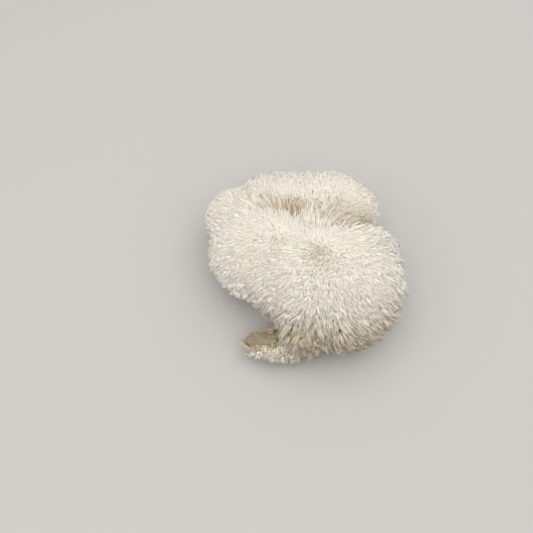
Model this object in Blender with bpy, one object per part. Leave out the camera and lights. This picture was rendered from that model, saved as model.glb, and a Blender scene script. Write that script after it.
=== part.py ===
"""A lion's mane mushroom: one fruit body, grown as one piece, cut off flat at its base.

Sizes are millimetres in the constants below and become metres in the mesh. +Z is up, the cut base
lies in the plane Z = 0, and the origin is under the middle of the mushroom's outline.
A few swellings melt into one body. Its skin is a net of four-sided meshes, and each mesh outside
the bare base is pulled out into a soft pointed spine that ends on the outside of the coat.
"""

import math

import bmesh
import bpy
import numpy as np
from mathutils import Vector
from mathutils.bvhtree import BVHTree

MM = 0.001
SEED = 26

# The swellings that the body is grown from: middle, half-sizes, turn about Z in degrees, the parting
# that the spines of this swelling lie away from, and the depth of its coat of spines.
SWELLINGS = {
    "front": ((12.4, -11.2, 20.5), (31.3, 25.3, 20.5), 0, (8.7, -4.5, 30), 3.2),
    "front_right": ((17.4, -20.9, 16.5), (21.4, 18.8, 16.5), 0, (10.7, -12.5, 30), 3.2),
    "shoulder": ((31.5, 2.9, 17.5), (10.7, 10.3, 15.5), 0, (10.7, -4.5, 30), 2.7),
    "left": ((-15.8, 3.2, 19.0), (24.1, 21.5, 18.0), 0, (-5.3, 2.5, 30), 3.2),
    "low_left": ((-11.2, -36.8, 7.6), (14.6, 5.8, 7.6), -11, (-4.0, -38.4, 14), 1.0),
    "low_front": ((2.4, -31.3, 13.3), (9.5, 7.3, 8.1), 0, (0.7, -33.8, 20), 2.6),
    "stem": ((0.2, -10.8, 4.0), (18.0, 16.0, 12.0), 0, (0.7, -10.5, 20), 2.6),
    "saddle": ((4.2, 18.3, 14.0), (26.0, 12.0, 13.0), 0, (3.7, 11.5, 18), 2.6),
}
# The back ridge is a thick roll that bends round behind the front: X, Y and radius of its stations,
# and X and Y of the parting in front of each.
RIDGE_STATIONS = (
    (-29.3, 21.7, 12.5, -19.0, 14.5),
    (-14.5, 28.6, 13.3, -13.0, 15.3),
    (-5.8, 29.1, 13.4, -5.0, 16.0),
    (5.2, 29.9, 13.2, 5.0, 16.5),
    (16.4, 29.3, 13.4, 10.0, 17.5),
    (25.3, 25.9, 10.5, 12.0, 19.5),
)
RIDGE_MIDDLE_HEIGHT = 18.0
RIDGE_HEIGHT_TO_RADIUS = 1.1
RIDGE_COAT = 2.6
MELT = 2.0  # how softly the swellings run into each other

BARE_NOTCH = ((-27.0, -33.0, 10.0), (-13.0, -33.0, 15.5))  # smooth flesh along this line
BARE_NOTCH_RADIUS = 4.0
BARE_BASE_MIDDLE = (0.2, -10.8)
BARE_BASE_RADIUS = 19.0
BARE_BASE_HEIGHT = 5.0
BARE_EDGE = 5.0  # the coat thins out over this width

NET_CELL = 2.95
NET_LOW = (-47.5, -48.5, -NET_CELL / 2)  # the first layer of cells lies half above the cut
NET_HIGH = (49.0, 50.0, 46.0)
CUT_REACH = 0.8  # a point of the first layer is on the cut if the flesh there is this near
SKIN_RELAX_STEPS = 12
RELAX_KEEPS = 0.5  # share of a point's place that one step keeps; the rest is its neighbours' mean
RELAX_KEEPS_ON_RIM = 0.85
WALL_STARTS = 0.3  # the lowest point of the skin round the cut
LEAST_COAT = 0.9  # a mesh of the net with a thinner coat than this stays bare
LONGEST_SPINE = 8.5
SPINE_LAY = 0.5  # how far a spine leans away from its parting, against 1 straight out
UPRIGHT_WITHIN = 6.0  # nearer to the parting than this, the lean fades out
SPINE_DROOP = 0.12
SPINE_SPREAD = 0.15
TIP_SCATTER = 0.35
SHORTEST_SPINE = 0.4
SPINE_STEP = 0.25
LOWEST_TIP = 0.25
UNTANGLE_PASSES = 30  # spines that cross are straightened and shortened a little, this often at most
STRAIGHTEN = 0.15
SHORTEN = 0.93
SMOOTH_BELOW_DEGREES = 40


def swelling_arrays():
    """The columns of the swellings, with the ridge's stations as swellings of their own."""
    rows = list(SWELLINGS.values())
    for x, y, radius, parting_x, parting_y in RIDGE_STATIONS:
        middle = (x, y, RIDGE_MIDDLE_HEIGHT)
        sizes = (radius, radius, radius * RIDGE_HEIGHT_TO_RADIUS)
        parting = (parting_x, parting_y, RIDGE_MIDDLE_HEIGHT)
        rows.append((middle, sizes, 0, parting, RIDGE_COAT))
    middles, sizes, turns, partings, coats = (np.array(column, float) for column in zip(*rows))
    return middles, sizes, np.radians(turns), partings, coats


MIDDLES, HALF_SIZES, TURNS, PARTINGS, COATS = swelling_arrays()


def nearness(points):
    """How strongly each swelling holds each point: exp(-distance / melt), distance 0 on its skin."""
    away = points[:, None, :] - MIDDLES
    cos, sin = np.cos(TURNS), np.sin(TURNS)
    x = away[..., 0] * cos + away[..., 1] * sin
    y = away[..., 1] * cos - away[..., 0] * sin
    scaled = np.stack([x, y, away[..., 2]], axis=-1) / HALF_SIZES
    distance = (np.linalg.norm(scaled, axis=-1) - 1) * HALF_SIZES.min(axis=1)
    return np.exp(np.clip(-distance / MELT, -60, 60))


def shares(points):
    """How much of each point belongs to each swelling; a point's shares add up to 1."""
    near = nearness(points) + 1e-300
    return near / near.sum(axis=1, keepdims=True)


def outside(points):
    """Distance-like height over the outside of the coat, negative inside: -melt * log(sum)."""
    return -MELT * np.log(nearness(points).sum(axis=1) + 1e-300)


def smooth_step(value):
    """0 below 0, 1 above 1, and a soft S between."""
    value = np.clip(value, 0, 1)
    return value * value * (3 - 2 * value)


def coat_depth(points):
    """The coat's depth: each swelling's own, and none in the bare notch and round the cut."""
    start, end = np.array(BARE_NOTCH)
    along = np.clip((points - start) @ (end - start) / ((end - start) ** 2).sum(), 0, 1)
    notch = np.linalg.norm(points - start - along[:, None] * (end - start), axis=1)
    across = np.linalg.norm(points[:, :2] - BARE_BASE_MIDDLE, axis=1) - BARE_BASE_RADIUS
    base = np.maximum(across, points[:, 2] - BARE_BASE_HEIGHT)
    return shares(points) @ COATS * smooth_step(np.minimum(notch - BARE_NOTCH_RADIUS, base) / BARE_EDGE)


def flesh(points):
    """Height over the flesh, which lies under the coat by the coat's depth."""
    return outside(points) + coat_depth(points)


def slope(height, points, reach=0.05):
    """The gradient of a height function, by central differences."""
    steps = np.eye(3) * reach
    return np.stack([height(points + s) - height(points - s) for s in steps], axis=1) / (2 * reach)


def unit(vectors):
    """The vectors at length 1."""
    return vectors / np.maximum(np.linalg.norm(vectors, axis=1, keepdims=True), 1e-9)


def quads_round(number, cross, inside_low, axis):
    """Four points round each grid edge along one axis that the skin crosses, facing outwards."""
    numbers = np.moveaxis(number, axis, 0)
    i, j, k = np.nonzero(cross)
    ring = (numbers[i, j - 1, k - 1], numbers[i, j, k - 1], numbers[i, j, k], numbers[i, j - 1, k])
    turned = inside_low[i, j, k] != (axis == 1)
    return np.where(turned[:, None], np.stack(ring, axis=1), np.stack(ring[::-1], axis=1))


def skin_net():
    """A closed net round the flesh above the cut. Each cell of a grid that the skin passes through
    holds one point, the mean of where it crosses the cell's edges. Gives the net and which of its
    points are on the cut."""
    axes = [np.arange(low, high, NET_CELL) for low, high in zip(NET_LOW, NET_HIGH)]
    grid = np.stack(np.meshgrid(*axes, indexing="ij"), axis=-1)
    shape = np.array(grid.shape[:3])
    field = flesh(grid.reshape(-1, 3)).reshape(shape)
    field[:, :, 0] = 1
    total = np.zeros((*(shape - 1), 3))
    count = np.zeros(shape - 1)
    crossed = []
    for axis in range(3):
        low = np.moveaxis(field, axis, 0)[:-1]
        high = np.moveaxis(field, axis, 0)[1:]
        cross = (low < 0) != (high < 0)
        at = np.where(cross, low / np.where(cross, low - high, 1), 0)
        crossed.append((cross, low < 0))
        sum_view = np.moveaxis(total, axis, 0)
        count_view = np.moveaxis(count, axis, 0)
        others = [other for other in range(3) if other != axis]
        for one in (0, 1):
            for two in (0, 1):
                part = (slice(None), slice(one, one - 1 or None), slice(two, two - 1 or None))
                count_view += cross[part]
                sum_view[..., axis] += at[part]
                sum_view[..., others[0]] += one * cross[part]
                sum_view[..., others[1]] += two * cross[part]
    held = count > 0
    number = np.full(count.shape, -1)
    number[held] = np.arange(held.sum())
    cells = np.argwhere(held)
    points = (cells + total[held] / count[held][:, None]) * NET_CELL + NET_LOW
    on_cut = (cells[:, 2] == 0) & (flesh(points * (1, 1, 0)) < CUT_REACH)
    points[:, 2] = np.where(on_cut, 0, np.maximum(points[:, 2], WALL_STARTS))
    quads = [quads_round(number, *crossed[axis], axis) for axis in range(3)]
    net = bmesh.new()
    made = [net.verts.new(point) for point in points]
    for quad in np.concatenate(quads):
        net.faces.new([made[corner] for corner in quad])
    net.verts.index_update()
    return net, on_cut


def settle(points, on_cut, rim):
    """Pulls the points back onto the flesh, the rim onto the cut's edge and the rest onto the cut."""
    for _ in range(3):
        height = flesh(points)
        way = slope(flesh, points)
        flat_way = way * (1, 1, 0)
        free = ~on_cut
        strength = np.maximum((way**2).sum(axis=1), 0.05)
        flat_strength = np.maximum((flat_way**2).sum(axis=1), 0.05)
        points[free] -= way[free] * np.clip(height / strength, -2, 2)[free, None]
        points[rim] -= flat_way[rim] * np.clip(height / flat_strength, -2, 2)[rim, None]
        points[on_cut, 2] = 0
        points[free, 2] = np.maximum(points[free, 2], WALL_STARTS)
    return points


def even_out(net, on_cut):
    """Evens out the net's meshes on the flesh."""
    points = np.array([vert.co for vert in net.verts])
    ends = np.array([[v.index for v in edge.verts] for edge in net.edges])
    both = np.concatenate([ends, ends[:, ::-1]])
    beside_skin = np.zeros(len(points), bool)
    beside_skin[both[~on_cut[both[:, 1]], 0]] = True
    rim = on_cut & beside_skin
    for _ in range(SKIN_RELAX_STEPS):
        pull = np.linalg.norm(points[both[:, 1]] - points[both[:, 0]], axis=1)
        total = np.zeros_like(points)
        np.add.at(total, both[:, 0], points[both[:, 1]] * pull[:, None])
        even = total / np.bincount(both[:, 0], pull, len(points))[:, None]
        keep = np.where(rim, RELAX_KEEPS_ON_RIM, RELAX_KEEPS)[:, None]
        points = settle(points * keep + even * (1 - keep), on_cut, rim)
    for vert, point in zip(net.verts, points):
        vert.co = point
    net.normal_update()


def spine_ways(points, normals, rng):
    """Unit directions of the spines: out, away from their swelling's parting, and a little down."""
    away = points - shares(points) @ PARTINGS
    away -= normals * (away * normals).sum(axis=1, keepdims=True)
    lean = away / np.maximum(np.linalg.norm(away, axis=1, keepdims=True), UPRIGHT_WITHIN)
    ways = normals + SPINE_LAY * lean + rng.normal(0, SPINE_SPREAD, points.shape)
    ways[:, 2] -= SPINE_DROOP
    return unit(ways)


def spine_lengths(points, ways, rng):
    """How far each spine goes to end on the outside of the coat, and no lower than the cut."""
    target = rng.uniform(-TIP_SCATTER, TIP_SCATTER, len(points))
    length = np.full(len(points), SHORTEST_SPINE)
    growing = np.ones(len(points), bool)
    while growing.any() and length.max() < LONGEST_SPINE:
        ahead = points + ways * (length + SPINE_STEP)[:, None]
        growing &= (outside(ahead) < target) & (ahead[:, 2] > LOWEST_TIP)
        length = np.where(growing, length + SPINE_STEP, length)
    return length


def crossed_spines(net, tips):
    """Which spines have a side that cuts through a side of another spine."""
    net.verts.index_update()
    net.faces.index_update()
    net.faces.ensure_lookup_table()
    sides = BVHTree.FromBMesh(net)
    tip_numbers = {vert.index: number for number, vert in enumerate(tips)}
    crossed = np.zeros(len(tips), bool)
    for one, other in sides.overlap(sides):
        corners = [{vert.index for vert in net.faces[number].verts} for number in (one, other)]
        if one < other and not corners[0] & corners[1]:
            for corner in corners[0] | corners[1]:
                if corner in tip_numbers:
                    crossed[tip_numbers[corner]] = True
    return crossed


def grow_spines(net, on_cut, rng):
    """Pulls each mesh of the net that has a coat out into one spine."""
    net.verts.index_update()
    middles = np.array([face.calc_center_median() for face in net.faces])
    coated = coat_depth(middles) > LEAST_COAT
    chosen = [
        face
        for face, has_coat in zip(net.faces, coated)
        if has_coat and not all(on_cut[vert.index] for vert in face.verts)
    ]
    made = bmesh.ops.poke(net, faces=chosen)["verts"]
    bmesh.ops.triangulate(net, faces=[face for face in net.faces if len(face.verts) > 3])
    roots = np.array([vert.co for vert in made])
    normals = unit(slope(flesh, roots))
    ways = spine_ways(roots, normals, rng)
    lengths = spine_lengths(roots, ways, rng)
    for _ in range(UNTANGLE_PASSES):
        for vert, root, way, length in zip(made, roots, ways, lengths):
            vert.co = root + way * length
        crossed = crossed_spines(net, made)
        if not crossed.any():
            break
        ways[crossed] = unit(ways[crossed] + STRAIGHTEN * normals[crossed])
        lengths[crossed] *= SHORTEN


def flesh_material():
    """Matt ivory flesh."""
    material = bpy.data.materials.new("mushroom_flesh")
    material.use_nodes = True
    shader = material.node_tree.nodes["Principled BSDF"]
    shader.inputs["Base Color"].default_value = (0.86, 0.79, 0.64, 1)
    shader.inputs["Roughness"].default_value = 0.75
    shader.inputs["Metallic"].default_value = 0
    return material


def main():
    """Grows the mushroom, centres it over the origin and scales it to metres."""
    for old in list(bpy.data.objects):
        bpy.data.objects.remove(old, do_unlink=True)
    rng = np.random.default_rng(SEED)
    net, on_cut = skin_net()
    even_out(net, on_cut)
    grow_spines(net, on_cut, rng)
    corners = np.array([vert.co for vert in net.verts])
    middle = (corners.min(axis=0) + corners.max(axis=0)) / 2
    bmesh.ops.translate(net, verts=net.verts, vec=Vector((-middle[0], -middle[1], 0)))
    bmesh.ops.scale(net, verts=net.verts, vec=Vector((MM, MM, MM)))
    bmesh.ops.recalc_face_normals(net, faces=net.faces)
    mesh = bpy.data.meshes.new("mushroom")
    net.to_mesh(mesh)
    net.free()
    mesh.shade_smooth()
    mesh.set_sharp_from_angle(angle=math.radians(SMOOTH_BELOW_DEGREES))
    mesh.materials.append(flesh_material())
    mushroom = bpy.data.objects.new("mushroom", mesh)
    bpy.context.scene.collection.objects.link(mushroom)


main()
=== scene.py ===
"""A lion's mane mushroom: pale lobed flesh under a shaggy coat of soft spines, on its cut base."""

import math

import bmesh
import bpy
import numpy as np
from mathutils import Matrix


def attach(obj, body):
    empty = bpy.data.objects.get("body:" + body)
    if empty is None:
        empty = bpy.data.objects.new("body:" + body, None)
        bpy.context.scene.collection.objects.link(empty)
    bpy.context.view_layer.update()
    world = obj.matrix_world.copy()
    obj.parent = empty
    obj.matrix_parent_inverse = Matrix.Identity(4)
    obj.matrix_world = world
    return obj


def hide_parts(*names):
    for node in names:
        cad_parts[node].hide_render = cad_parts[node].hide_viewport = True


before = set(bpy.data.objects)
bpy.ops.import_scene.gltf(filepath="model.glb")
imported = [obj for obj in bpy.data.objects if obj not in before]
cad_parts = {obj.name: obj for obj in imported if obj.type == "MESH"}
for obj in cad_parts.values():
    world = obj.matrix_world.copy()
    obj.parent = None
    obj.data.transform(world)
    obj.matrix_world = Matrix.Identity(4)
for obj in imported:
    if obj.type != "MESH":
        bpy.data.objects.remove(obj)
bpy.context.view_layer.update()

# ---- Flesh -------------------------------------------------------------------------------------
# The mushroom's body: pale, spongy flesh that grew as one piece. A few swellings melt into each
# other, with a crease between the high front and the back ridge that bends round it. The base was
# cut off flat with a knife. The flesh is bare round the cut and nearly so on the low left lobe.

MM = 0.001
# Each swelling, in millimetres: its middle, its half-sizes, its turn about Z in degrees, the
# parting that its spines lie away from, the depth of its coat, and how far its spines lean.
SWELLINGS = {
    "front": ((12.4, -11.2, 20.5), (31.3, 25.3, 20.5), 0, (8.7, -4.5, 30), 2.1, 0.85),
    "front_right": ((17.4, -20.9, 16.5), (21.4, 18.8, 16.5), 0, (2.0, -17.0, 30), 3.3, 1.15),
    "shoulder": ((31.5, 2.9, 17.5), (10.7, 10.3, 15.5), 0, (10.7, -4.5, 30), 2.1, 0.7),
    "left": ((-15.8, 3.2, 19.0), (24.1, 21.5, 18.0), 0, (-5.3, 2.5, 30), 2.0, 0.7),
    "low_left": ((-11.2, -36.8, 7.6), (14.6, 5.8, 7.6), -11, (-4.0, -38.4, 14), 2.5, 1.2),
    "low_front": ((2.4, -31.3, 13.3), (9.5, 7.3, 8.1), 0, (0.7, -33.8, 20), 3.6, 1.5),
    "stem": ((0.2, -10.8, 4.0), (18.0, 16.0, 12.0), 0, (0.7, -10.5, 20), 2.4, 0.5),
    "saddle": ((4.2, 18.3, 14.0), (26.0, 12.0, 13.0), 0, (3.7, 11.5, 18), 1.7, 0.6),
}
# The back ridge: X, Y and radius of its stations, and X and Y of the parting in front of each.
RIDGE_STATIONS = (
    (-29.3, 21.7, 12.5, -19.0, 14.5),
    (-14.5, 28.6, 13.3, -13.0, 15.3),
    (-5.8, 29.1, 13.4, -5.0, 16.0),
    (5.2, 29.9, 13.2, 5.0, 16.5),
    (16.4, 29.3, 13.4, 10.0, 17.5),
    (25.3, 25.9, 10.5, 12.0, 19.5),
)
RIDGE_MIDDLE_HEIGHT = 18.0
RIDGE_HEIGHT_TO_RADIUS = 1.1
RIDGE_COAT = 2.0
RIDGE_LEAN = 0.85
MELT = 2.0  # how softly the swellings run into each other
FARTHEST = 60  # in melts, so that the exponentials stay within range
TINY = 1e-300  # so that no logarithm or share is taken of nothing
SHORT = 1e-9  # and nothing is divided by a length of nothing
OUTLINE_MIDDLE = np.array((1.01, 0.31, 0.0))  # what lies over the frame's origin

CREASE_DEPTH = 0.5
CREASE_LEFT_END = -26.0
CREASE_LEFT_FADE = 14.0
BARE_NOTCH = ((-21.5, -33.0, 12.0), (-12.5, -33.0, 15.5))  # the lobe is nearly bare along this line
BARE_NOTCH_RADIUS = 2.6
BARE_BASE_MIDDLE = (0.2, -10.8)
BARE_BASE_RADIUS = 19.0
BARE_BASE_HEIGHT = 5.0
BARE_EDGE = 4.0  # the coat thins out over this width

NET_CELL = 0.5
NET_LOW = (-46.0, -47.0, -1.1)
NET_HIGH = (47.0, 46.5, 43.0)
NET_BLOCKS = 40  # the grid's heights are worked out in this many blocks, to save memory


def swelling_columns():
    """The swellings' columns as arrays, with the ridge's stations as swellings of their own."""
    rows = list(SWELLINGS.values())
    for x, y, radius, parting_x, parting_y in RIDGE_STATIONS:
        sizes = (radius, radius, radius * RIDGE_HEIGHT_TO_RADIUS)
        parting = (parting_x, parting_y, RIDGE_MIDDLE_HEIGHT)
        middle = (x, y, RIDGE_MIDDLE_HEIGHT)
        rows.append((middle, sizes, 0, parting, RIDGE_COAT, RIDGE_LEAN))
    columns = [np.array(column, float) for column in zip(*rows)]
    middles, sizes, turns, partings, coats, leans = columns
    return middles, sizes, np.radians(turns), partings, coats, leans


MIDDLES, HALF_SIZES, TURNS, PARTINGS, COATS, LEANS = swelling_columns()


def nearness(points):
    """exp(-distance / melt) of each point from each swelling. The distance is the length of the way
    from the middle in shares of the half-sizes, less 1, times the smallest half-size."""
    away = points[:, None, :] - MIDDLES
    cos, sin = np.cos(TURNS), np.sin(TURNS)
    x = away[..., 0] * cos + away[..., 1] * sin
    y = away[..., 1] * cos - away[..., 0] * sin
    scaled = np.stack([x, y, away[..., 2]], axis=-1) / HALF_SIZES
    distance = (np.linalg.norm(scaled, axis=-1) - 1) * HALF_SIZES.min(axis=1)
    return np.exp(np.clip(-distance / MELT, -FARTHEST, FARTHEST))


def shares(points):
    """How much of each point belongs to each swelling: nearness over the sum of nearnesses."""
    near = nearness(points) + TINY
    return near / near.sum(axis=1, keepdims=True)


def outside(points):
    """Height over the outside of the coat, negative inside: -melt * log(sum of nearnesses)."""
    return -MELT * np.log(nearness(points).sum(axis=1) + TINY)


def smooth_step(value):
    """3 v^2 - 2 v^3 of the value held between 0 and 1."""
    value = np.clip(value, 0, 1)
    return value * value * (3 - 2 * value)


def notch_share(points):
    """1 in the coat, falling smoothly to 0 near the line of the bare notch."""
    start, end = np.array(BARE_NOTCH)
    along = np.clip((points - start) @ (end - start) / ((end - start) ** 2).sum(), 0, 1)
    away = np.linalg.norm(points - start - along[:, None] * (end - start), axis=1)
    return smooth_step((away - BARE_NOTCH_RADIUS) / BARE_EDGE)


def base_share(points):
    """1 in the coat, falling smoothly to 0 round the cut base and low on the stem."""
    across = np.linalg.norm(points[:, :2] - BARE_BASE_MIDDLE, axis=1) - BARE_BASE_RADIUS
    return smooth_step(np.maximum(across, points[:, 2] - BARE_BASE_HEIGHT) / BARE_EDGE)


def coat_share(points):
    """1 in the coat, 0 where the flesh is bare: the smaller of the notch's share and the base's."""
    return np.minimum(notch_share(points), base_share(points))


def ridge_share(points):
    """How much of each point belongs to the back ridge."""
    return shares(points)[:, len(SWELLINGS) :].sum(axis=1)


def crease(points):
    """1 along the crease between the back ridge and the rest: 4 s (1 - s) of the ridge's share s,
    faded out at the left, where the ridge runs on into the left side."""
    ridge = ridge_share(points)
    fade = smooth_step((points[:, 0] - CREASE_LEFT_END) / CREASE_LEFT_FADE)
    return 4 * ridge * (1 - ridge) * fade


def flesh_height(points):
    """Height over the flesh: the outside's height plus the coat's depth and the crease's."""
    depth = shares(points) @ COATS * coat_share(points)
    return outside(points) + depth + CREASE_DEPTH * crease(points)


def slope(height, points, reach=0.05):
    """The gradient of a height function by central differences along X, Y and Z."""
    rises = [height(points + step) - height(points - step) for step in np.eye(3) * reach]
    return np.stack(rises, axis=1) / (2 * reach)


def unit(vectors):
    """The vectors of the last axis divided by their lengths."""
    return vectors / np.maximum(np.linalg.norm(vectors, axis=-1, keepdims=True), SHORT)


def net_over(height):
    """A closed net of quads where a height function is 0. Each cell of a grid that the surface
    passes through holds one point, the mean of where it crosses the cell's edges, and each grid
    edge that it crosses gets a quad of the four points round it, turned to face outwards."""
    axes = [np.arange(low, high, NET_CELL) for low, high in zip(NET_LOW, NET_HIGH)]
    grid = np.stack(np.meshgrid(*axes, indexing="ij"), axis=-1)
    shape = np.array(grid.shape[:3])
    blocks = np.array_split(grid.reshape(-1, 3), NET_BLOCKS)
    field = np.concatenate([height(block) for block in blocks]).reshape(shape)
    field[:, :, 0] = 1  # closed below the cut
    total = np.zeros((*(shape - 1), 3))
    count = np.zeros(shape - 1)
    crossed = []
    for axis in range(3):
        low = np.moveaxis(field, axis, 0)[:-1]
        high = np.moveaxis(field, axis, 0)[1:]
        cross = (low < 0) != (high < 0)
        at = np.where(cross, low / np.where(cross, low - high, 1), 0)
        crossed.append((cross, low < 0))
        sum_view = np.moveaxis(total, axis, 0)
        count_view = np.moveaxis(count, axis, 0)
        others = [other for other in range(3) if other != axis]
        for one in (0, 1):
            for two in (0, 1):
                part = (slice(None), slice(one, one - 1 or None), slice(two, two - 1 or None))
                count_view += cross[part]
                sum_view[..., axis] += at[part]
                sum_view[..., others[0]] += one * cross[part]
                sum_view[..., others[1]] += two * cross[part]
    held = count > 0
    number = np.full(count.shape, -1)
    number[held] = np.arange(held.sum())
    place = np.argwhere(held) + total[held] / count[held][:, None]
    points = place * NET_CELL + np.array([axis[0] for axis in axes])
    quads = []
    for axis, (cross, inside_low) in enumerate(crossed):
        cell = np.moveaxis(number, axis, 0)
        i, j, k = np.nonzero(cross)
        corners = (cell[i, j - 1, k - 1], cell[i, j, k - 1], cell[i, j, k], cell[i, j - 1, k])
        ring = np.stack(corners, axis=1)
        turned = inside_low[i, j, k] != (axis == 1)
        quads.append(np.where(turned[:, None], ring, ring[:, ::-1]))
    return points, np.concatenate(quads)


def put_attribute(mesh, name, values):
    """One number for each point of the mesh, for its material to read."""
    attribute = mesh.attributes.new(name, "FLOAT", "POINT")
    attribute.data.foreach_set("value", values.astype(np.float32))


def new_piece(name, points, faces, material):
    """A smooth-shaded object from points in millimetres, its place in its mesh."""
    mesh = bpy.data.meshes.new(name)
    mesh.from_pydata(((points - OUTLINE_MIDDLE) * MM).tolist(), [], faces)
    mesh.polygons.foreach_set("use_smooth", np.ones(len(mesh.polygons), bool))
    mesh.materials.append(material)
    piece = bpy.data.objects.new(name, mesh)
    bpy.context.scene.collection.objects.link(piece)
    return piece


def cut_flat(mesh):
    """Takes off all below the plane Z = 0 and closes the cut with one flat face."""
    body = bmesh.new()
    body.from_mesh(mesh)
    cut = bmesh.ops.bisect_plane(
        body, geom=[*body.verts, *body.edges, *body.faces], dist=1e-7,
        plane_co=(0, 0, 0), plane_no=(0, 0, -1), clear_outer=True,
    )["geom_cut"]
    edges = [part for part in cut if isinstance(part, bmesh.types.BMEdge)]
    for face in bmesh.ops.holes_fill(body, edges=edges)["faces"]:
        face.smooth = False
    bmesh.ops.recalc_face_normals(body, faces=body.faces)
    body.to_mesh(mesh)
    body.free()


# Where the mushroom is tan: along the crease, as painted shade; darkest at one spot that handling
# and drying have browned, with a fainter one beside it; where the low front meets the low left lobe;
# at the crease's right end and a little all over the lower front, as painted shade. Each spot has
# its middle, its reach and its strength.
BROWN_AND_SHADED_SPOTS = (
    ((-2.4, 19.9, 30.5), (4.2, 1.9, 9.0), 1.2),
    ((-11.5, 20.2, 31.0), (6.0, 1.8, 6.0), 0.35),
    ((-4.5, -32.0, 16.5), (6.0, 5.0, 6.0), 0.22),
    # painted shade at the crease's right end
    ((24.0, 15.0, 26.0), (11.0, 7.0, 12.0), 0.28),
)
# Painted shade along the crease between the back ridge and the rest.
CREASE_SHADE = 0.2
CREASE_SHADE_FROM = 14.0  # the crease's painted shade starts above this height, fully so a rise higher
CREASE_SHADE_RISE = 8.0
# Painted shade over the lower front, with less of it on the low left lobe.
LOW_SHADE = 0.6
LOBE_SHADE = 0.28
# The lower front's painted shade grows forwards from this Y over a stretch, and downwards from this
# height.
LOW_SHADE_FROM_Y = -8.0
LOW_SHADE_STRETCH_Y = 24.0
LOW_SHADE_TOP = 38.0
LOW_SHADE_STRETCH_DOWN = 20.0
LOBE_END_X = -7.0  # from here to the right the lobe's painted shade turns into the lower front's
LOBE_END_STRETCH = 12.0
# Tan round the bare notch: partly its own duller tone, partly painted shade.
NOTCH_TAN_AND_SHADE = 0.5
BASE_TAN = 0.24
RIDGE_TAN = 0.07
UNDERCOAT_SHADE = 0.09  # painted shade on the undercoat, so that the gaps between the strands look warm and darker
STRAND_TAN_SHARE = 0.7  # the strands on top get less tan than the undercoat, painted shade that leaves the deeper layer darker


def browning_and_shade(points, streaks=1.0):
    """0 to 1, real brown tone and painted shade together: a share of the crease's own value (painted
    shade), plus strength * exp(-distance^2) round each spot, the distance in shares of the reach,
    plus a rise towards the low front (painted shade), the notch (partly painted shade) and the base,
    and a little on the ridge. Each point's streak multiplies the spots."""
    x, y, z = points.T
    # painted shade along the crease
    tan = CREASE_SHADE * crease(points) * smooth_step((z - CREASE_SHADE_FROM) / CREASE_SHADE_RISE)
    for middle, reach, strength in BROWN_AND_SHADED_SPOTS:
        tan += strength * streaks * np.exp(-(((points - middle) / reach) ** 2).sum(axis=1))
    # painted shade towards the lower front and the low left lobe
    low = smooth_step((LOW_SHADE_FROM_Y - y) / LOW_SHADE_STRETCH_Y)
    low *= smooth_step((LOW_SHADE_TOP - z) / LOW_SHADE_STRETCH_DOWN)
    right_of_lobe = smooth_step((x - LOBE_END_X) / LOBE_END_STRETCH)
    tan += low * (LOBE_SHADE + (LOW_SHADE - LOBE_SHADE) * right_of_lobe)
    # the notch's tan is partly painted shade
    tan += NOTCH_TAN_AND_SHADE * (1 - notch_share(points)) + BASE_TAN * (1 - base_share(points))
    tan += RIDGE_TAN * ridge_share(points)
    return np.clip(tan, 0, 1)


def mottled_ivory():
    """A group that mixes a light and a deep ivory by two sizes of noise, then tan and brown by a
    mask of
    real brown tone and painted shade: value = coarse * (1 - share) + fine * share."""
    group = bpy.data.node_groups.new("mottled_ivory", "ShaderNodeTree")
    for name, kind in (("Light", "Color"), ("Deep", "Color"), ("Tan", "Color"), ("Brown", "Color"),
                       ("Browning and Shade", "Float"), ("Coarse Scale", "Float"), ("Fine Scale", "Float")):
        group.interface.new_socket(name, in_out="INPUT", socket_type="NodeSocket" + kind)
    group.interface.new_socket("Color", in_out="OUTPUT", socket_type="NodeSocketColor")
    nodes, links = group.nodes, group.links
    given = nodes.new("NodeGroupInput")
    result = nodes.new("NodeGroupOutput")
    place = nodes.new("ShaderNodeTexCoord")
    noises = []
    for size in ("Coarse Scale", "Fine Scale"):
        noise = nodes.new("ShaderNodeTexNoise")
        noise.inputs["Detail"].default_value = 3
        links.new(place.outputs["Object"], noise.inputs["Vector"])
        links.new(given.outputs[size], noise.inputs["Scale"])
        noises.append(noise)
    both = nodes.new("ShaderNodeMix")
    both.inputs["Factor"].default_value = 0.4
    links.new(noises[0].outputs["Fac"], both.inputs["A"])
    links.new(noises[1].outputs["Fac"], both.inputs["B"])
    spread = nodes.new("ShaderNodeMapRange")
    spread.inputs["From Min"].default_value = 0.35
    spread.inputs["From Max"].default_value = 0.65
    links.new(both.outputs["Result"], spread.inputs["Value"])
    ivory = nodes.new("ShaderNodeMix")
    ivory.data_type = "RGBA"
    links.new(spread.outputs["Result"], ivory.inputs["Factor"])
    links.new(given.outputs["Light"], ivory.inputs["A"])
    links.new(given.outputs["Deep"], ivory.inputs["B"])
    tan_share = nodes.new("ShaderNodeMapRange")
    tan_share.inputs["From Min"].default_value = 0.05
    tan_share.inputs["From Max"].default_value = 0.55
    links.new(given.outputs["Browning and Shade"], tan_share.inputs["Value"])
    tan = nodes.new("ShaderNodeMix")
    tan.data_type = "RGBA"
    links.new(tan_share.outputs["Result"], tan.inputs["Factor"])
    links.new(ivory.outputs["Result"], tan.inputs["A"])
    links.new(given.outputs["Tan"], tan.inputs["B"])
    brown_share = nodes.new("ShaderNodeMapRange")
    brown_share.inputs["From Min"].default_value = 0.5
    brown_share.inputs["From Max"].default_value = 1.0
    links.new(given.outputs["Browning and Shade"], brown_share.inputs["Value"])
    brown = nodes.new("ShaderNodeMix")
    brown.data_type = "RGBA"
    links.new(brown_share.outputs["Result"], brown.inputs["Factor"])
    links.new(tan.outputs["Result"], brown.inputs["A"])
    links.new(given.outputs["Brown"], brown.inputs["B"])
    links.new(brown.outputs["Result"], result.inputs["Color"])
    return group


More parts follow.
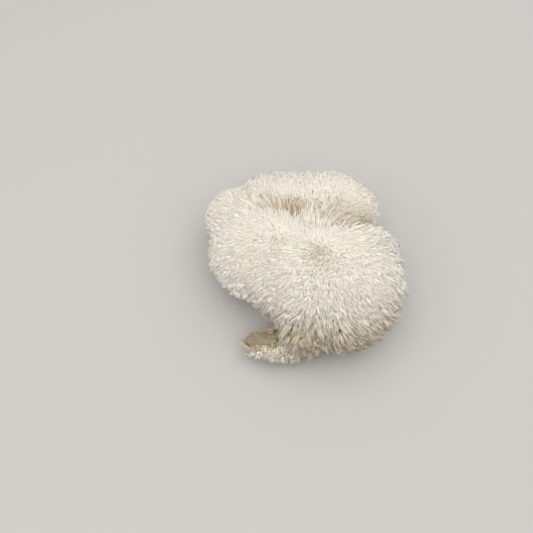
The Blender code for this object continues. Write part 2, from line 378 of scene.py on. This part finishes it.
MOTTLED_IVORY = mottled_ivory()
LIGHT_IVORY = (0.97, 0.945, 0.885, 1)
DEEP_IVORY = (0.95, 0.915, 0.835, 1)
FLESH_TAN = (0.66, 0.53, 0.36, 1)
FLESH_BROWN = (0.46, 0.33, 0.18, 1)
# The nearly bare lobe's dull tan: partly the bare flesh's own duller tone, partly painted shade.
WEATHERED_SHADED_LIGHT = (0.27, 0.245, 0.185, 1)
WEATHERED_SHADED_DEEP = (0.205, 0.18, 0.135, 1)
WEATHERED_SHADED_FIBRE = (0.19, 0.16, 0.115, 1)


def flesh_material():
    """Ivory flesh, a little translucent, with fine upright fibres in relief. Where the lobe is
    nearly bare it is a dark, dull tan with darker fibres: partly the bare flesh's own duller tone,
    partly painted shade."""
    material = bpy.data.materials.new("ivory_flesh")
    material.use_nodes = True
    nodes, links = material.node_tree.nodes, material.node_tree.links
    shader = nodes["Principled BSDF"]
    shader.inputs["Roughness"].default_value = 0.62
    shader.inputs["Specular IOR Level"].default_value = 0.35
    shader.inputs["Subsurface Weight"].default_value = 0.35
    shader.inputs["Subsurface Radius"].default_value = (1.0, 0.75, 0.5)
    shader.inputs["Subsurface Scale"].default_value = 0.002
    skin = nodes.new("ShaderNodeGroup")
    skin.node_tree = MOTTLED_IVORY
    skin.inputs["Light"].default_value = LIGHT_IVORY
    skin.inputs["Deep"].default_value = DEEP_IVORY
    skin.inputs["Tan"].default_value = FLESH_TAN
    skin.inputs["Brown"].default_value = FLESH_BROWN
    skin.inputs["Coarse Scale"].default_value = 90
    skin.inputs["Fine Scale"].default_value = 700
    mask = nodes.new("ShaderNodeAttribute")
    mask.attribute_name = "browning_and_shade"
    links.new(mask.outputs["Fac"], skin.inputs["Browning and Shade"])
    weathered_and_shaded = nodes.new("ShaderNodeGroup")
    weathered_and_shaded.node_tree = MOTTLED_IVORY
    weathered_and_shaded.inputs["Light"].default_value = WEATHERED_SHADED_LIGHT
    weathered_and_shaded.inputs["Deep"].default_value = WEATHERED_SHADED_DEEP
    weathered_and_shaded.inputs["Coarse Scale"].default_value = 160
    weathered_and_shaded.inputs["Fine Scale"].default_value = 900
    open_air = nodes.new("ShaderNodeAttribute")
    open_air.attribute_name = "bare"
    colour = nodes.new("ShaderNodeMix")
    colour.data_type = "RGBA"
    links.new(open_air.outputs["Fac"], colour.inputs["Factor"])
    links.new(skin.outputs["Color"], colour.inputs["A"])
    links.new(colour.outputs["Result"], shader.inputs["Base Color"])
    place = nodes.new("ShaderNodeTexCoord")
    stretch = nodes.new("ShaderNodeMapping")
    stretch.inputs["Scale"].default_value = (1, 1, 0.18)
    links.new(place.outputs["Object"], stretch.inputs["Vector"])
    fibres = nodes.new("ShaderNodeTexNoise")
    fibres.inputs["Scale"].default_value = 800
    fibres.inputs["Detail"].default_value = 4
    links.new(stretch.outputs["Vector"], fibres.inputs["Vector"])
    streaks = nodes.new("ShaderNodeMapRange")
    streaks.inputs["From Min"].default_value = 0.42
    streaks.inputs["From Max"].default_value = 0.66
    streaks.inputs["To Max"].default_value = 0.7
    links.new(fibres.outputs["Fac"], streaks.inputs["Value"])
    streaked = nodes.new("ShaderNodeMix")
    streaked.data_type = "RGBA"
    streaked.inputs["B"].default_value = WEATHERED_SHADED_FIBRE
    links.new(streaks.outputs["Result"], streaked.inputs["Factor"])
    links.new(weathered_and_shaded.outputs["Color"], streaked.inputs["A"])
    links.new(streaked.outputs["Result"], colour.inputs["B"])
    relief = nodes.new("ShaderNodeBump")
    relief.inputs["Strength"].default_value = 0.7
    relief.inputs["Distance"].default_value = 0.0006
    links.new(fibres.outputs["Fac"], relief.inputs["Height"])
    links.new(relief.outputs["Normal"], shader.inputs["Normal"])
    return material


flesh_points, flesh_quads = net_over(flesh_height)
flesh = new_piece("flesh", flesh_points, flesh_quads.tolist(), flesh_material())
cut_flat(flesh.data)
flesh_places = np.empty(len(flesh.data.vertices) * 3)
flesh.data.vertices.foreach_get("co", flesh_places)
flesh_places = flesh_places.reshape(-1, 3) / MM + OUTLINE_MIDDLE
put_attribute(flesh.data, "browning_and_shade", browning_and_shade(flesh_places))
put_attribute(flesh.data, "bare", 1 - notch_share(flesh_places))
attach(flesh, "root")
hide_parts("mushroom")

# ---- Coat of spines ----------------------------------------------------------------------------
# The mane: soft spines by the ten thousand that grow out of the flesh, lie away from each swelling's
# parting and gather in small tufts. Most are a short, dense undercoat, and one in four is a longer
# strand. They are one growth with the flesh, kept in pieces by the part that they cover.

COAT_SEED = 8
SPINE_RADIUS = 0.21
RADIUS_SCATTER = (0.75, 1.2)
STRAND_THICKNESS = 0.62  # a strand's radius against the undercoat's
THINNEST = 0.5  # share of the full radius that the shortest spines have
THICK_FROM = 1.6  # the length from which spines have the full radius
SIDES = 3
# A spine is pointed at both ends. Where it has its rings of three points, as shares of its length,
# and their share of its radius: one ring in the undercoat, two in the strands, which bend more.
UNDERCOAT_RINGS = ((0.5, 1.0),)
STRAND_RINGS = ((0.36, 1.0), (0.74, 0.8))
ROOTS_TO_A_CELL = 2.9
STRAND_SHARE = 0.25
STRANDS_FROM = 0.4  # the notch's share up to which there are no strands
STRAND_LEAN = 1.7  # how much more a strand leans
STRAND_LIFT = 1.3  # where a strand bends over, in shares of its rise out of the skin
UNDERCOAT_LIFT = 0.42  # the same in the undercoat, in shares of the spine's length
BEND_FORWARD = 0.12  # how far along the spine it bends, in shares of its length
SPINES_TO_A_TUFT = 24
UNDERSIDE_SHARE = 0.5  # how thickly the underside is grown, against 1 above
UNDERSIDE_FULL = -0.7  # a place with this normal's Z is all underside, less so over a fade
UNDERSIDE_FADE = 0.6
NOTCH_FUZZ = 0.65  # how thickly the bare notch is grown with its shortest fibres
NOTCH_GROWN = 0.8  # the notch's share from which it is grown as thickly as the rest
BASE_GROWN_FROM = 0.02  # the base's share from which spines stand, as thickly as the rest at 0.32
BASE_GROWN_OVER = 0.3
LOWEST_ROOT = 0.6
SPINE_SINK = 0.4  # how deep a root starts in the flesh
TUFT_LEAN_SCATTER = 0.13
SPINE_LEAN_SCATTER = 0.08
SWAY = 0.14
DROOP = 0.08
# Share of a swelling's half-size: nearer to its parting, the lean fades out.
UPRIGHT_SHARE = 0.45
RIDGE_UPRIGHT_SHARE = 0.2
# The coat is plush on top, where a normal's Z is above the first of these, and loosens towards the
# sides over a fall of the second.
PLUSH_ABOVE = 0.9
LOOSENS_OVER = 0.6
# How far a tip is pulled to the tip of its tuft, and how much tufts differ in height: little in the
# plush, more where the coat is loose.
PLUSH_PULL = 0.2
LOOSE_PULL = 0.45
CURLY_PULL = 0.25
PULL_SCATTER = (0.4, 1.2)
PLUSH_UNEVEN = 0.15
LOOSE_UNEVEN = 0.8
TALLEST_TUFT = 2.4  # a tuft's random height in shares of that: 1 is level, and this is the most
# A spine's length starts from a first guess, and is corrected a few times, within the shortest and
# the longest, to bring its tip to the wanted height.
FIRST_LENGTH = 4.0
SHORTEST = 0.5
LONGEST = 9.5
TIP_CORRECTIONS = 5
LEAST_RATE = 0.3  # the slope along a spine's way counts as no less than this
# Heights of tips over the outside of the coat: the mean, the highest, and how much they scatter.
TIP_HEIGHT = -0.3
HIGHEST_TIP = 1.1
PLUSH_TIP_SCATTER = 0.15
LOOSE_TIP_SCATTER = 0.3
STRAND_TIP_SCATTER = 2.0  # how much more the tips of the strands are scattered
CREASE_SINK_FROM = 12.0  # above this height the coat dips in the crease, fully so a rise higher
CREASE_SINK_RISE = 8.0
FLOOR_GAP = 0.15
BEND_OVER_TIP = 0.3  # how much higher than the tips the bends keep from the floor
# The low front is curly: there tufts and spines lean more at random, and their bends wander.
CURLY_MIDDLE = (0.0, -31.0, 12.0)
CURLY_REACH = 15.0
CURLY_TUFT_SCATTER = 3.5
CURLY_SPINE_SCATTER = 2.0
CURL = 1.3
OWN_CURL = 0.14
# How much of a dark spot's tan the palest spines take, and the span from there to the darkest.
STREAK_LEAST = 0.35
STREAK_SPAN = 1.25
NEAREST_BLOCK = 4000  # so many points at a time look for their nearest tuft, to save memory
# Each piece holds the spines that are nearer to its place in X and Y than to the others'.
UNDERCOAT_PARTS = {
    "spines_ridge_left": (-22.0, 26.0),
    "spines_ridge_right": (14.0, 28.0),
    "spines_left": (-26.0, 2.0),
    "spines_top": (4.0, 2.0),
    "spines_right": (34.0, -6.0),
    "spines_front_right": (20.0, -33.0),
    "spines_low_left": (-9.0, -34.0),
}
STRAND_PARTS = {
    "strands_back": (0.0, 28.0),
    "strands_left": (-20.0, -2.0),
    "strands_front": (16.0, -14.0),
}


def roots_on_flesh(rng):
    """Roots in the quads of the net, each at a place of its own between the quad's corners:
    (1 - u)(1 - v) a + u (1 - v) b + u v c + (1 - u) v d. A quad gets the whole number below
    roots * area / cell + random, fewer on the underside and in the notch and none at the base."""
    a, b, c, d = (flesh_points[flesh_quads[:, corner]] for corner in range(4))
    crossed = np.cross(c - a, d - b)
    area = np.linalg.norm(crossed, axis=1) / 2
    facing = unit(crossed)[:, 2]
    middles = (a + b + c + d) / 4
    wanted = ROOTS_TO_A_CELL * area / NET_CELL**2
    wanted *= smooth_step((base_share(middles) - BASE_GROWN_FROM) / BASE_GROWN_OVER)
    wanted *= NOTCH_FUZZ + (1 - NOTCH_FUZZ) * smooth_step(notch_share(middles) / NOTCH_GROWN)
    upward = smooth_step((facing - UNDERSIDE_FULL) / UNDERSIDE_FADE)
    wanted *= UNDERSIDE_SHARE + (1 - UNDERSIDE_SHARE) * upward
    wanted *= middles[:, 2] > LOWEST_ROOT
    quad = np.repeat(np.arange(len(area)), np.floor(wanted + rng.random(len(area))).astype(int))
    u, v = rng.random((2, len(quad), 1))
    from_two = (1 - u) * (1 - v) * a[quad] + u * (1 - v) * b[quad]
    return from_two + u * v * c[quad] + (1 - u) * v * d[quad]


def nearest_of(points, others):
    """For each point a, the number of the other point b that is nearest, where |b|^2 - 2 a.b is
    least, block by block."""
    found = np.empty(len(points), int)
    squares = (others**2).sum(axis=1)
    for start in range(0, len(points), NEAREST_BLOCK):
        block = slice(start, start + NEAREST_BLOCK)
        found[block] = np.argmin(squares - 2 * points[block] @ others.T, axis=1)
    return found


def sway(points):
    """A slow wander of direction over the surface: along each axis one or two sines of coordinates
    that are divided by 5 to 13 mm."""
    x, y, z = points.T
    return np.stack([
        np.sin(y / 7.3 + 1.1) + np.sin(z / 5.1 + x / 11.0),
        np.sin(x / 8.7 + 2.3) + np.sin(z / 6.7 - y / 13.0),
        np.sin(x / 9.9 - y / 7.7 + 0.4),
    ], axis=1)


def spine_ways(roots, normals, scatter, lean_more=1.0):
    """Out of the skin, plus a lean away from the swelling's parting that fades to nothing at the
    parting itself, a slow sway, a little droop, and a scatter of each spine's own."""
    share = shares(roots)
    away = roots - share @ PARTINGS
    away -= normals * (away * normals).sum(axis=1, keepdims=True)
    in_ridge = np.arange(len(COATS)) >= len(SWELLINGS)
    upright_share = np.where(in_ridge, RIDGE_UPRIGHT_SHARE, UPRIGHT_SHARE)
    upright = share @ (upright_share * HALF_SIZES.min(axis=1))
    lean = away / np.maximum(np.linalg.norm(away, axis=1), upright)[:, None]
    wander = sway(roots)
    wander -= normals * (wander * normals).sum(axis=1, keepdims=True)
    ways = normals + (share @ LEANS * lean_more)[:, None] * (lean + SWAY * wander + scatter)
    ways[:, 2] -= DROOP
    return unit(ways)


def tips_on_coat(roots, ways, height):
    """Tips along each way where the coat's outside has the wanted height: the length is corrected
    a few times by the height that is left over the slope along the way."""
    length = np.full(len(roots), FIRST_LENGTH)
    for _ in range(TIP_CORRECTIONS):
        tips = roots + ways * length[:, None]
        left = height - outside(tips)
        rate = np.maximum((slope(outside, tips) * ways).sum(axis=1), LEAST_RATE)
        length = np.clip(length + left / rate, SHORTEST, LONGEST)
    return roots + ways * length[:, None]


def looseness(normals):
    """0 in the plush on top, rising smoothly to 1 on the sides."""
    return smooth_step((PLUSH_ABOVE - normals[:, 2]) / LOOSENS_OVER)


def curliness(points):
    """exp(-(distance / reach)^2) from the middle of the curly low front."""
    return np.exp(-((np.linalg.norm(points - CURLY_MIDDLE, axis=1) / CURLY_REACH) ** 2))


def grow_coat(rng):
    """Roots, middles of bend and tips of all spines, and which of them are strands. A tip is moved
    a share of the way to its tuft's tip, and a tuft's spines bend the same way."""
    roots = roots_on_flesh(rng)
    strand = (rng.random(len(roots)) < STRAND_SHARE) & (notch_share(roots) > STRANDS_FROM)
    tuft_roots = roots[rng.permutation(len(roots))[: len(roots) // SPINES_TO_A_TUFT]]
    tuft = nearest_of(roots, tuft_roots)
    normals = unit(slope(flesh_height, roots))
    tuft_normals = unit(slope(flesh_height, tuft_roots))
    loose = looseness(tuft_normals)
    curly = curliness(roots)[:, None]
    tuft_scatter = rng.normal(0, TUFT_LEAN_SCATTER, tuft_roots.shape)
    tuft_scatter *= 1 + CURLY_TUFT_SCATTER * curliness(tuft_roots)[:, None]
    own_scatter = rng.normal(0, SPINE_LEAN_SCATTER, roots.shape) * (1 + CURLY_SPINE_SCATTER * curly)
    scatter = tuft_scatter[tuft] + own_scatter
    ways = spine_ways(roots, normals, scatter, 1 + (STRAND_LEAN - 1) * strand)
    sunk = CREASE_DEPTH * crease(roots) * ridge_share(roots)
    sunk *= smooth_step((roots[:, 2] - CREASE_SINK_FROM) / CREASE_SINK_RISE)
    unevenness = PLUSH_TIP_SCATTER + (LOOSE_TIP_SCATTER - PLUSH_TIP_SCATTER) * loose[tuft]
    unevenness *= np.where(strand, STRAND_TIP_SCATTER, 1)
    height = TIP_HEIGHT + unevenness * rng.normal(0, 1, len(roots)) - sunk
    tuft_height = PLUSH_UNEVEN + (LOOSE_UNEVEN - PLUSH_UNEVEN) * loose
    tuft_height *= np.minimum(rng.exponential(1, len(tuft_roots)), TALLEST_TUFT) - 1
    tips = tips_on_coat(roots, ways, np.minimum(height + tuft_height[tuft], HIGHEST_TIP))
    pull = PLUSH_PULL + (LOOSE_PULL - PLUSH_PULL) * loose[tuft, None]
    pull = (pull + (CURLY_PULL - pull) * curly) * rng.uniform(*PULL_SCATTER, (len(roots), 1))
    tuft_top = np.minimum(tuft_height + TIP_HEIGHT, HIGHEST_TIP)
    for lean_more, mine in ((1.0, ~strand), (STRAND_LEAN, strand)):
        tuft_ways = spine_ways(tuft_roots, tuft_normals, tuft_scatter, lean_more)
        tuft_tips = tips_on_coat(tuft_roots, tuft_ways, tuft_top)
        tips[mine] += (pull * (tuft_tips[tuft] - tips))[mine]
    grown = tips - roots
    length = np.linalg.norm(grown, axis=1)
    rise = (grown * normals).sum(axis=1)
    lift = np.where(strand, STRAND_LIFT * rise, UNDERCOAT_LIFT * length)
    bends = roots + normals * lift[:, None] + grown * BEND_FORWARD
    bends += rng.normal(0, CURL, tuft_roots.shape)[tuft] * curly
    bends += rng.normal(0, OWN_CURL, roots.shape)
    tips[:, 2] = np.maximum(tips[:, 2], FLOOR_GAP)
    bends[:, 2] = np.maximum(bends[:, 2], FLOOR_GAP + BEND_OVER_TIP)
    return roots - normals * SPINE_SINK, bends, tips, strand


STEEP = 0.8  # a spine whose way has more Z than this has its rings set out from X, not from Z


def spine_mesh(roots, bends, tips, radii, turns, rings):
    """Points and triangles of many spines. The middle line is (1-s)^2 root + 2 s (1-s) bend + s^2
    tip, and three points stand round it at each ring. Fans of triangles close root and tip."""
    count = len(roots)
    at, shrink = np.array(rings).T
    s = at[None, :, None]
    line = (1 - s) ** 2 * roots[:, None] + 2 * s * (1 - s) * bends[:, None]
    line += s**2 * tips[:, None]
    ahead = 2 * (1 - s) * (bends - roots)[:, None] + 2 * s * (tips - bends)[:, None]
    ahead = unit(ahead)
    chord = unit(tips - roots)
    helper = np.where(np.abs(chord[:, 2:3]) < STEEP, (0.0, 0.0, 1.0), (1.0, 0.0, 0.0))
    across = unit(np.cross(ahead, helper[:, None]))
    upward = np.cross(across, ahead)
    angle = turns[:, None] + np.arange(SIDES) * 2 * math.pi / SIDES
    ring = (
        across[:, :, None] * np.cos(angle)[:, None, :, None]
        + upward[:, :, None] * np.sin(angle)[:, None, :, None]
    )
    size = radii[:, None, None, None] * shrink[None, :, None, None]
    tube = (line[:, :, None] + ring * size).reshape(count, -1, 3)
    points = np.concatenate([tube, tips[:, None], roots[:, None]], axis=1)
    ring_count = len(rings)
    here = np.arange((ring_count - 1) * SIDES).reshape(ring_count - 1, SIDES)
    beside = np.roll(here, -1, axis=1)
    first = np.stack([here, beside, beside + SIDES], axis=-1).reshape(-1, 3)
    second = np.stack([here, beside + SIDES, here + SIDES], axis=-1).reshape(-1, 3)
    low = np.arange(SIDES)
    high = low + (ring_count - 1) * SIDES
    tip = np.full(SIDES, ring_count * SIDES)
    tip_fan = np.stack([high, np.roll(high, -1), tip], axis=-1)
    root_fan = np.stack([np.roll(low, -1), low, tip + 1], axis=-1)
    one = np.concatenate([first, second, tip_fan, root_fan])
    faces = one[None] + (np.arange(count) * points.shape[1])[:, None, None]
    return points.reshape(-1, 3), faces.reshape(-1, 3), one


def up_spine(rings):
    """How far up its spine each point of one spine stands, from 0 at the root to 1 at the tip."""
    return np.concatenate([np.repeat([at for at, _ in rings], SIDES), (1.0, 0.0)])


CELL_MARGIN = 0.05  # what each spine's cell of the map leaves free at its edges


def spine_uv(count, one, rings):
    """A square cell of the map for each spine: across the cell round the spine, up it to the tip,
    with the tip and the root halfway across. A triangle from the last side of the spine round to
    the first ends at the cell's right."""
    cells = math.ceil(math.sqrt(count))
    up = up_spine(rings)
    sides = np.arange(SIDES) / SIDES
    across = np.concatenate([np.tile(sides, len(rings)), (0.5, 0.5)])[one]
    wraps = (across.max(axis=1) == sides[-1]) & (across.min(axis=1) == 0)
    across = np.where(wraps[:, None] & (across == 0), 1.0, across)
    corner = np.stack([across, up[one]], axis=-1).reshape(-1, 2)
    corner = corner * (1 - 2 * CELL_MARGIN) + CELL_MARGIN
    number = np.arange(count)
    place = np.stack([number % cells, number // cells], axis=1)
    return ((place[:, None] + corner[None]) / cells).reshape(-1, 2)


SPINE_TAN = (0.71, 0.62, 0.475, 1)
SPINE_BROWN = (0.40, 0.28, 0.15, 1)


def spine_material():
    """Matt ivory, a little lighter or darker from spine to spine. Where the coat's tan mask is set,
    it is tan or brown at the root and less so at the tip, painted shade that darkens the coat deep
    down."""
    material = bpy.data.materials.new("ivory_spines")
    material.use_nodes = True
    nodes, links = material.node_tree.nodes, material.node_tree.links
    shader = nodes["Principled BSDF"]
    shader.inputs["Roughness"].default_value = 0.8
    shader.inputs["Specular IOR Level"].default_value = 0.1
    skin = nodes.new("ShaderNodeGroup")
    skin.node_tree = MOTTLED_IVORY
    skin.inputs["Light"].default_value = LIGHT_IVORY
    skin.inputs["Deep"].default_value = DEEP_IVORY
    skin.inputs["Tan"].default_value = SPINE_TAN
    skin.inputs["Brown"].default_value = SPINE_BROWN
    skin.inputs["Coarse Scale"].default_value = 70
    skin.inputs["Fine Scale"].default_value = 500
    along = nodes.new("ShaderNodeAttribute")
    along.attribute_name = "along"
    mask = nodes.new("ShaderNodeAttribute")
    mask.attribute_name = "browning_and_shade"
    # painted shade: the tan mask is full at the root and falls to 0.8 of it at the tip
    fade = nodes.new("ShaderNodeMapRange")
    fade.inputs["From Min"].default_value = 0.35
    fade.inputs["From Max"].default_value = 1.0
    fade.inputs["To Min"].default_value = 1.0
    fade.inputs["To Max"].default_value = 0.8
    links.new(along.outputs["Fac"], fade.inputs["Value"])
    lot = nodes.new("ShaderNodeAttribute")
    lot.attribute_name = "lot"
    rooted = nodes.new("ShaderNodeMath")
    rooted.operation = "MULTIPLY"
    links.new(mask.outputs["Fac"], rooted.inputs[0])
    links.new(fade.outputs["Result"], rooted.inputs[1])
    links.new(rooted.outputs["Value"], skin.inputs["Browning and Shade"])
    vary = nodes.new("ShaderNodeMapRange")
    vary.inputs["To Min"].default_value = 0.91
    vary.inputs["To Max"].default_value = 1.04
    links.new(lot.outputs["Fac"], vary.inputs["Value"])
    tinted = nodes.new("ShaderNodeVectorMath")
    tinted.operation = "SCALE"
    links.new(skin.outputs["Color"], tinted.inputs[0])
    links.new(vary.outputs["Result"], tinted.inputs["Scale"])
    links.new(tinted.outputs["Vector"], shader.inputs["Base Color"])
    return material


coat_rng = np.random.default_rng(COAT_SEED)
spine_roots, spine_bends, spine_tips, is_strand = grow_coat(coat_rng)
spine_radii = SPINE_RADIUS * coat_rng.uniform(*RADIUS_SCATTER, len(spine_roots))
spine_lengths = np.linalg.norm(spine_tips - spine_roots, axis=1)
spine_radii *= np.clip(spine_lengths / THICK_FROM, THINNEST, 1)
spine_radii *= np.where(is_strand, STRAND_THICKNESS, 1)
spine_turns = coat_rng.uniform(0, 2 * math.pi, len(spine_roots))
spine_lots = coat_rng.random(len(spine_roots))
spine_streaks = STREAK_LEAST + STREAK_SPAN * spine_lots
spine_tan_and_shade = browning_and_shade((spine_roots + spine_tips) / 2, spine_streaks)
# painted shade: the undercoat gets more tan and the strands less, so the deeper layer looks darker
spine_tan_and_shade = np.where(is_strand, STRAND_TAN_SHARE * spine_tan_and_shade, spine_tan_and_shade + UNDERCOAT_SHADE)
spine_tan_and_shade = np.minimum(spine_tan_and_shade, 1)
spine_finish = spine_material()
for parts, rings, kind in (
    (UNDERCOAT_PARTS, UNDERCOAT_RINGS, np.flatnonzero(~is_strand)),
    (STRAND_PARTS, STRAND_RINGS, np.flatnonzero(is_strand)),
):
    part_of = nearest_of(spine_roots[kind, :2], np.array(list(parts.values())))
    for part_number, part_name in enumerate(parts):
        mine = kind[part_of == part_number]
        points, faces, one_spine = spine_mesh(
            spine_roots[mine], spine_bends[mine], spine_tips[mine],
            spine_radii[mine], spine_turns[mine], rings,
        )
        spines = new_piece(part_name, points, faces.tolist(), spine_finish)
        spine_points = len(rings) * SIDES + 2
        put_attribute(spines.data, "along", np.tile(up_spine(rings), len(mine)))
        put_attribute(spines.data, "lot", np.repeat(spine_lots[mine], spine_points))
        put_attribute(spines.data, "browning_and_shade", np.repeat(spine_tan_and_shade[mine], spine_points))
        corners = spine_uv(len(mine), one_spine, rings)
        cell_map = spines.data.uv_layers.new(name="OFBake")
        cell_map.uv.foreach_set("vector", corners.astype(np.float32).ravel())
        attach(spines, "root")
        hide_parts("mushroom")

# ---- Floor, light and camera -------------------------------------------------------------------
# A plain pale table under a broad, soft light overhead and a weak one from the left, seen from a
# steep angle.

FLOOR_SIDE = 3.0
floor_mesh = bpy.data.meshes.new("floor")
floor_corners = np.array(((-1, -1, 0), (1, -1, 0), (1, 1, 0), (-1, 1, 0)))
floor_mesh.from_pydata((floor_corners * FLOOR_SIDE / 2).tolist(), [], [(0, 1, 2, 3)])
floor = bpy.data.objects.new("floor", floor_mesh)
bpy.context.scene.collection.objects.link(floor)
floor_finish = bpy.data.materials.new("pale_table")
floor_finish.use_nodes = True
floor_shader = floor_finish.node_tree.nodes["Principled BSDF"]
floor_shader.inputs["Base Color"].default_value = (0.42, 0.41, 0.40, 1)
floor_shader.inputs["Roughness"].default_value = 0.8
floor_mesh.materials.append(floor_finish)


def soft_light(name, place, target, side, power, colour):
    """A square area light that faces a point: turned about X by the angle of its way from straight
    down, and about Z by the way's direction less a right angle."""
    lamp = bpy.data.lights.new(name, "AREA")
    lamp.shape = "SQUARE"
    lamp.size = side
    lamp.energy = power
    lamp.color = colour
    holder = bpy.data.objects.new(name, lamp)
    holder.location = place
    way = np.array(target) - np.array(place)
    holder.rotation_euler = (
        math.atan2(math.hypot(way[0], way[1]), -way[2]),
        0,
        math.atan2(way[1], way[0]) - math.pi / 2,
    )
    bpy.context.scene.collection.objects.link(holder)


LIGHTS_TARGET = (0, 0, 0.02)
soft_light(
    "key", place=(0.06, 0.0, 0.68), target=LIGHTS_TARGET,
    side=1.0, power=5.1, colour=(1.0, 0.985, 0.95),
)
soft_light(
    "fill", place=(-0.50, -0.25, 0.35), target=LIGHTS_TARGET,
    side=0.6, power=0.65, colour=(1.0, 0.99, 0.97),
)
world = bpy.data.worlds.new("studio")
world.use_nodes = True
world.node_tree.nodes["Background"].inputs["Color"].default_value = (1.0, 0.985, 0.96, 1)
world.node_tree.nodes["Background"].inputs["Strength"].default_value = 0.78
bpy.context.scene.world = world

bpy.context.scene.view_settings.view_transform = "Standard"
bpy.context.scene.cycles.max_bounces = 24
bpy.context.scene.cycles.diffuse_bounces = 16

VIEW_HEIGHT_DEGREES = 65.0
VIEW_DISTANCE = 0.2468
SENSOR_WIDTH = 36.0
PICTURE_PIXELS = 533  # the picture's width
FOCAL_PIXELS = 570  # the focal length in the same pixels
AIM = (-0.01595, -0.00402, 0.020)  # left of the mushroom, as the photograph frames it

view_slope = math.radians(VIEW_HEIGHT_DEGREES)
camera_data = bpy.data.cameras.new("camera")
camera_data.sensor_width = SENSOR_WIDTH
camera_data.lens = SENSOR_WIDTH * FOCAL_PIXELS / PICTURE_PIXELS
camera_data.clip_start = 0.01
camera = bpy.data.objects.new("camera", camera_data)
camera.location = (
    AIM[0],
    AIM[1] - VIEW_DISTANCE * math.cos(view_slope),
    AIM[2] + VIEW_DISTANCE * math.sin(view_slope),
)
camera.rotation_euler = (math.pi / 2 - view_slope, 0, 0)
bpy.context.scene.collection.objects.link(camera)
bpy.context.scene.camera = camera
